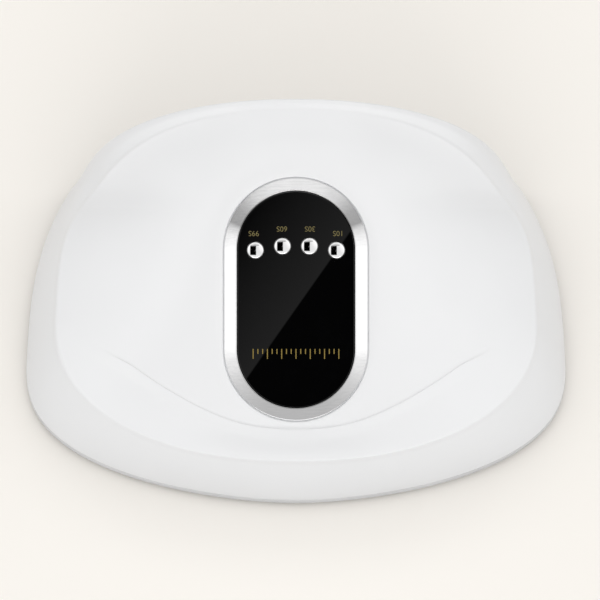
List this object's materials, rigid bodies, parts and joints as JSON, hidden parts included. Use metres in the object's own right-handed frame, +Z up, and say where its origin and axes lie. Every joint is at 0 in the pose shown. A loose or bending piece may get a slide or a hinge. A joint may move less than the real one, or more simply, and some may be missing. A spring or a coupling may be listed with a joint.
{
  "type": "uv led nail lamp",
  "caption": "Domed white nail-curing lamp with a lit hand chamber open at the front, a tilted dark control panel with push buttons, and a removable mirrored tray.",
  "frame": {"origin": "on the table under the middle of the lamp's footprint", "axes": "+Z up, -Y out of the hand opening, +X along the width, to the right of someone who faces the opening"},
  "size_m": [0.25, 0.16, 0.0924],
  "materials": {
    "hood_white": "glossy white moulded shell",
    "tray_white": "white moulded tray",
    "liner_white": "bright white reflector",
    "mirror_sheet": "mirror sheet",
    "foot_rubber": "soft rubber",
    "magnet_nickel": "nickel plated",
    "screw_steel": "plated steel",
    "bezel_metal": "bright bevelled metal",
    "lens_black": "glossy black window",
    "frame_grey": "moulded plastic",
    "button_chrome": "polished chrome",
    "plunger_plastic": "moulded plastic",
    "switch_black": "moulded plastic",
    "board_green": "printed board",
    "led_board_white": "printed board, white",
    "led_clear": "clear lens over a yellow chip",
    "display_dark": "digit display",
    "sensor_dark": "dark sensor",
    "inlet_black": "moulded socket"
  },
  "bodies": {
    "base": {"base_tray": "tray_white", "base_mirror": "mirror_sheet", "rubber_feet": "foot_rubber", "tray_magnets": "magnet_nickel"},
    "hood": {"hood_shell": "hood_white", "inner_liner": "liner_white", "hood_magnets": "magnet_nickel", "housing_screws": "screw_steel", "panel_bezel": "bezel_metal", "panel_lens": "lens_black", "panel_frame": "frame_grey", "tact_switches": "switch_black", "control_board": "board_green", "board_screws": "screw_steel", "timer_display": "display_dark", "led_board_front": "led_board_white", "led_board_roof": "led_board_white", "led_board_left": "led_board_white", "led_board_right": "led_board_white", "led_board_rear": "led_board_white", "leds_front": "led_clear", "leds_roof": "led_clear", "leds_left": "led_clear", "leds_right": "led_clear", "leds_rear": "led_clear", "hand_sensor": "sensor_dark", "dc_inlet": "inlet_black"},
    "key_10s": {"button_10s": "button_chrome", "plunger_10s": "plunger_plastic"},
    "key_30s": {"button_30s": "button_chrome", "plunger_30s": "plunger_plastic"},
    "key_60s": {"button_60s": "button_chrome", "plunger_60s": "plunger_plastic"},
    "key_99s": {"button_99s": "button_chrome", "plunger_99s": "plunger_plastic"}
  },
  "joints": [
    {"name": "hood_lift", "type": "slide", "parent": "base", "child": "hood", "axis": [0, 0, 1], "range_m": [0, 0.06]},
    {"name": "press_10s", "type": "slide", "parent": "hood", "child": "key_10s", "axis": [0, -0.4226, -0.9063], "range_m": [0, 0.0005], "stiffness_N_per_m": 1500},
    {"name": "press_30s", "type": "slide", "parent": "hood", "child": "key_30s", "axis": [0, -0.4226, -0.9063], "range_m": [0, 0.0005], "stiffness_N_per_m": 1500},
    {"name": "press_60s", "type": "slide", "parent": "hood", "child": "key_60s", "axis": [0, -0.4226, -0.9063], "range_m": [0, 0.0005], "stiffness_N_per_m": 1500},
    {"name": "press_99s", "type": "slide", "parent": "hood", "child": "key_99s", "axis": [0, -0.4226, -0.9063], "range_m": [0, 0.0005], "stiffness_N_per_m": 1500}
  ]
}
